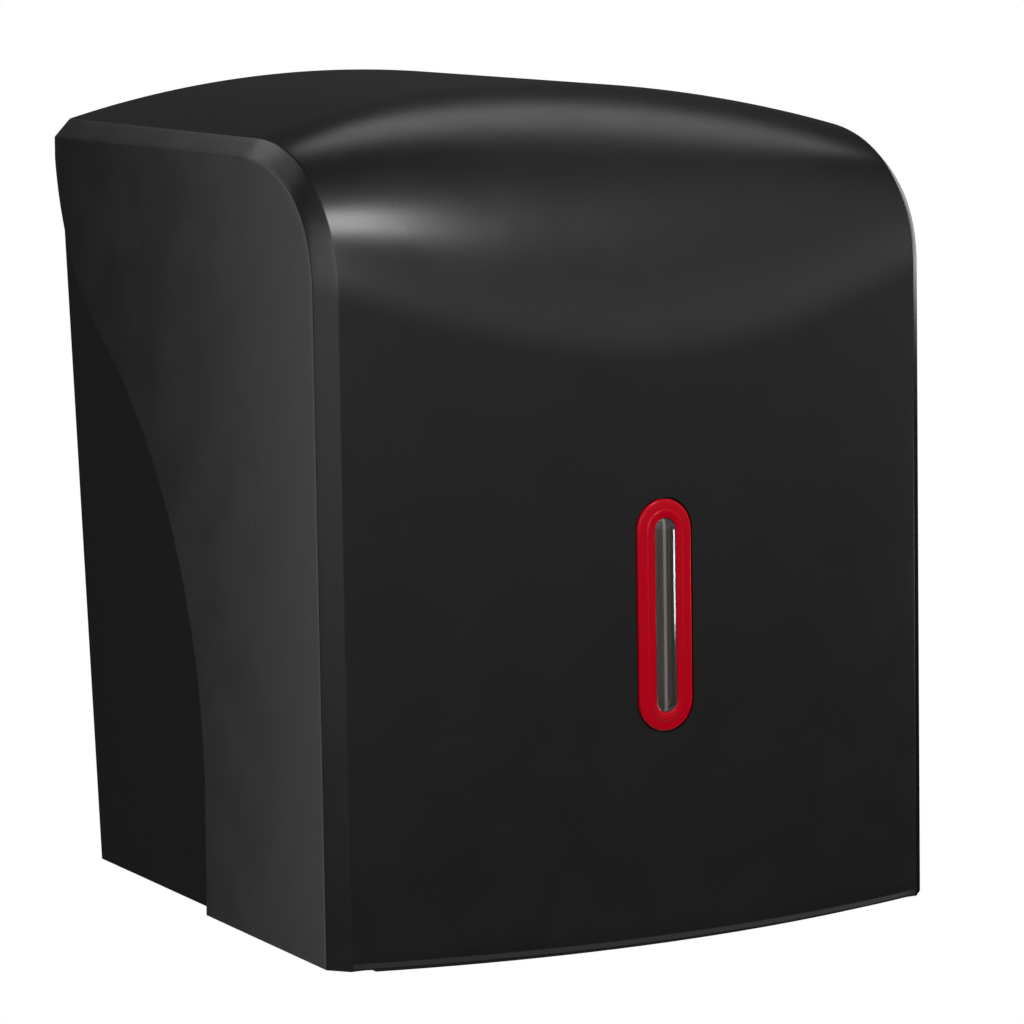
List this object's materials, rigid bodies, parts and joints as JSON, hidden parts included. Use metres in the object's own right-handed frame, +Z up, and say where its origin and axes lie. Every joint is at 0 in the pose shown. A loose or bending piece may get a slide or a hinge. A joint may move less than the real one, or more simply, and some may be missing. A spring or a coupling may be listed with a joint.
{
  "type": "centrefeed roll dispenser",
  "caption": "Wall dispenser for centrefeed paper rolls with a bowed black cover that tips forward on a low hinge, a red-ringed window and a cam lock.",
  "frame": {"origin": "centre of the four wall screw holes, on the wall face of the rear housing", "axes": "+X to the right as seen from the front, +Y into the wall, +Z up"},
  "size_m": [0.2515, 0.2472, 0.3216],
  "materials": {
    "cover_black": "satin moulded black plastic",
    "housing_black": "fine textured black plastic",
    "inner_black": "plain black plastic",
    "nozzle_grey": "smooth dark grey plastic",
    "ring_red": "glossy red plastic",
    "clear_window": "clear polished plastic",
    "bush_white": "natural white bearing plastic",
    "lock_chrome": "plated lock metal",
    "steel": "bright steel"
  },
  "bodies": {
    "housing": {"rear_housing": "housing_black", "hinge_bush_left": "bush_white", "hinge_bush_right": "bush_white", "strike_plate": "steel", "strike_screws": "steel", "roll_shelf": "inner_black", "shelf_screws": "steel", "paper_nozzle": "nozzle_grey", "nozzle_collar": "nozzle_grey", "tear_ring": "steel"},
    "cover": {"front_cover": "cover_black", "window_bezel": "ring_red", "window_lens": "clear_window", "window_retainer": "inner_black", "retainer_screws": "steel", "hinge_pin_left": "steel", "hinge_pin_right": "steel", "lock_case": "lock_chrome", "lock_nut": "steel"},
    "lock": {"lock_plug": "lock_chrome", "lock_cam": "steel", "cam_screw": "steel"}
  },
  "joints": [
    {"name": "cover_hinge", "type": "hinge", "parent": "housing", "child": "cover", "pos_m": [0, -0.186, -0.126], "axis": [1, 0, 0], "range_deg": [0, 85]},
    {"name": "lock_turn", "type": "hinge", "parent": "cover", "child": "lock", "pos_m": [0.125, -0.072, 0.096], "axis": [1, 0, 0], "range_deg": [0, 90]}
  ]
}
